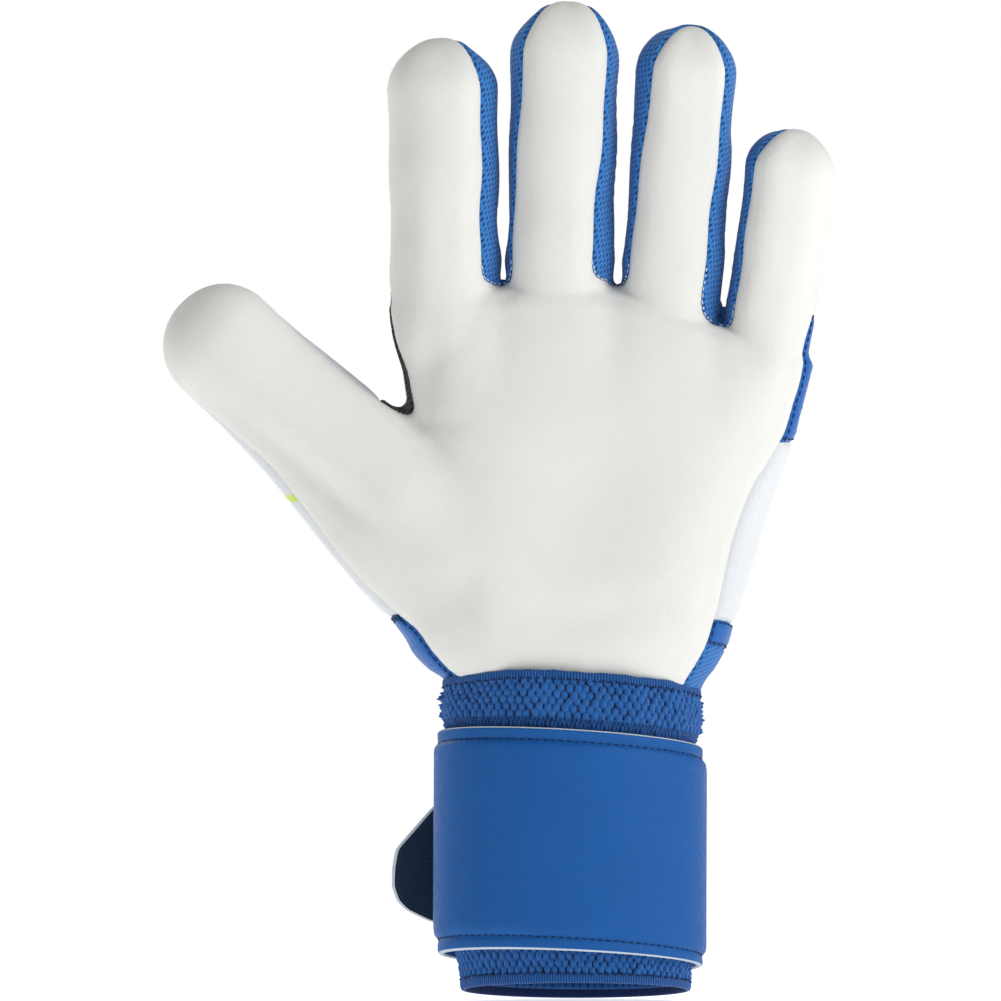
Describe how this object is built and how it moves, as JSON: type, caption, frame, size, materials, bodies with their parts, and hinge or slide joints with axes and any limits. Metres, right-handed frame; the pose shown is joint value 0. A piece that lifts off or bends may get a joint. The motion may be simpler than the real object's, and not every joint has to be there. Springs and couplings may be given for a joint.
{
  "type": "goalkeeper glove",
  "caption": "Left-hand goalkeeper glove, negative cut: padded latex palm, mesh finger gussets, foam backhand, elastic wrist bandage and a wrap-round strap with a pull tab.",
  "frame": {"origin": "centre of the wrist opening, level with its rim", "axes": "+Z from the wrist to the fingertips, +Y out of the back of the hand (the palm faces -Y), the thumb towards -X"},
  "size_m": [0.1912, 0.0608, 0.2847],
  "materials": {
    "latex": "matt natural latex foam, fine open grain",
    "white_backhand": "smooth foam-backed synthetic",
    "blue_backhand": "smooth foam-backed synthetic",
    "strap_blue": "soft synthetic leather, fine grain",
    "blue_mesh": "open air mesh",
    "blue_knit": "elastic honeycomb knit",
    "charcoal_mesh": "stretch mesh",
    "navy": "hook and loop tape"
  },
  "bodies": {
    "hand": {"palm_latex": "latex", "backhand_panel": "white_backhand", "backhand_tape": "blue_backhand", "backhand_mesh": "blue_mesh", "thumb_gusset": "charcoal_mesh", "thumb_base_patch": "blue_backhand", "bandage_top_hem": "blue_knit"},
    "knuckles": {"knuckle_latex": "latex", "knuckle_panel": "blue_backhand", "index_middle_crotch": "blue_mesh", "middle_ring_crotch": "blue_mesh", "ring_pinky_crotch": "blue_mesh", "index_back_base": "white_backhand", "middle_back_base": "white_backhand", "ring_back_base": "white_backhand", "pinky_back_base": "white_backhand"},
    "index_middle": {"index_middle_latex": "latex", "index_middle_back": "white_backhand", "index_middle_gusset": "blue_mesh"},
    "index_tip": {"index_tip_latex": "latex", "index_tip_back": "white_backhand", "index_tip_gusset": "blue_mesh"},
    "middle_middle": {"middle_middle_latex": "latex", "middle_middle_back": "white_backhand", "middle_middle_gusset_left": "blue_mesh", "middle_middle_gusset_right": "blue_mesh"},
    "middle_tip": {"middle_tip_latex": "latex", "middle_tip_back": "white_backhand", "middle_tip_gusset": "blue_mesh"},
    "ring_middle": {"ring_middle_latex": "latex", "ring_middle_back": "white_backhand", "ring_middle_gusset_left": "blue_mesh", "ring_middle_gusset_right": "blue_mesh"},
    "ring_tip": {"ring_tip_latex": "latex", "ring_tip_back": "white_backhand", "ring_tip_gusset": "blue_mesh"},
    "pinky_middle": {"pinky_middle_latex": "latex", "pinky_middle_back": "white_backhand", "pinky_middle_gusset": "blue_mesh"},
    "pinky_tip": {"pinky_tip_latex": "latex", "pinky_tip_back": "white_backhand", "pinky_tip_gusset": "blue_mesh"},
    "thumb_middle": {"thumb_middle_latex": "latex", "thumb_middle_back": "white_backhand"},
    "thumb_tip": {"thumb_tip_latex": "latex", "thumb_tip_back": "white_backhand"},
    "cuff": {"wrist_bandage": "blue_knit", "bandage_bottom_hem": "blue_knit", "strap_band": "strap_blue", "loop_patch": "navy"},
    "strap_end": {"strap_flap": "strap_blue", "hook_patch": "navy"},
    "strap_tab": {"pull_tab": "navy"}
  },
  "joints": [
    {"name": "knuckle_fold", "type": "hinge", "parent": "hand", "child": "knuckles", "pos_m": [0.008, -0.005, 0.173], "axis": [0.989, 0, -0.1478], "range_deg": [-10, 65], "stiffness_Nm_per_rad": 0.2},
    {"name": "index_middle_fold", "type": "hinge", "parent": "knuckles", "child": "index_middle", "pos_m": [-0.03597, -0.00498, 0.22], "axis": [1, 0, 0], "range_deg": [0, 80], "stiffness_Nm_per_rad": 0.05},
    {"name": "index_tip_fold", "type": "hinge", "parent": "index_middle", "child": "index_tip", "pos_m": [-0.03658, -0.00657, 0.245], "axis": [1, 0, 0], "range_deg": [0, 48], "stiffness_Nm_per_rad": 0.05},
    {"name": "middle_middle_fold", "type": "hinge", "parent": "knuckles", "child": "middle_middle", "pos_m": [-0.00213, -0.00507, 0.225], "axis": [1, 0, 0], "range_deg": [0, 80], "stiffness_Nm_per_rad": 0.05},
    {"name": "middle_tip_fold", "type": "hinge", "parent": "middle_middle", "child": "middle_tip", "pos_m": [-0.00121, -0.00667, 0.253], "axis": [1, 0, 0], "range_deg": [0, 48], "stiffness_Nm_per_rad": 0.05},
    {"name": "ring_middle_fold", "type": "hinge", "parent": "knuckles", "child": "ring_middle", "pos_m": [0.03088, -0.00512, 0.221], "axis": [1, 0, 0], "range_deg": [0, 80], "stiffness_Nm_per_rad": 0.05},
    {"name": "ring_tip_fold", "type": "hinge", "parent": "ring_middle", "child": "ring_tip", "pos_m": [0.03307, -0.00674, 0.248], "axis": [1, 0, 0], "range_deg": [0, 48], "stiffness_Nm_per_rad": 0.05},
    {"name": "pinky_middle_fold", "type": "hinge", "parent": "knuckles", "child": "pinky_middle", "pos_m": [0.05876, -0.00509, 0.203], "axis": [1, 0, 0], "range_deg": [0, 80], "stiffness_Nm_per_rad": 0.05},
    {"name": "pinky_tip_fold", "type": "hinge", "parent": "pinky_middle", "child": "pinky_tip", "pos_m": [0.0618, -0.00664, 0.223], "axis": [1, 0, 0], "range_deg": [0, 48], "stiffness_Nm_per_rad": 0.05},
    {"name": "thumb_base_fold", "type": "hinge", "parent": "hand", "child": "thumb_middle", "pos_m": [-0.06644, -0.00489, 0.1518], "axis": [0.6836, 0, 0.7298], "range_deg": [0, 40], "stiffness_Nm_per_rad": 0.05},
    {"name": "thumb_tip_fold", "type": "hinge", "parent": "thumb_middle", "child": "thumb_tip", "pos_m": [-0.08834, -0.00612, 0.17231], "axis": [0.6836, 0, 0.7298], "range_deg": [0, 55], "stiffness_Nm_per_rad": 0.05},
    {"name": "wrist_flex", "type": "hinge", "parent": "hand", "child": "cuff", "pos_m": [0, 0, 0.079], "axis": [-1, 0, 0], "range_deg": [-15, 15], "stiffness_Nm_per_rad": 0.2},
    {"name": "strap_open", "type": "hinge", "parent": "cuff", "child": "strap_end", "pos_m": [0.04, 0.00315, 0.038], "axis": [0, 0, -1], "range_deg": [0, 160]},
    {"name": "tab_lift", "type": "hinge", "parent": "strap_end", "child": "strap_tab", "pos_m": [-0.0268, 0.0273, 0.038], "axis": [0, 0, -1], "range_deg": [0, 50]}
  ],
  "couplings": [
    {"joint": "index_tip_fold", "follows": "index_middle_fold", "ratio": 0.6},
    {"joint": "middle_tip_fold", "follows": "middle_middle_fold", "ratio": 0.6},
    {"joint": "ring_tip_fold", "follows": "ring_middle_fold", "ratio": 0.6},
    {"joint": "pinky_tip_fold", "follows": "pinky_middle_fold", "ratio": 0.6}
  ]
}
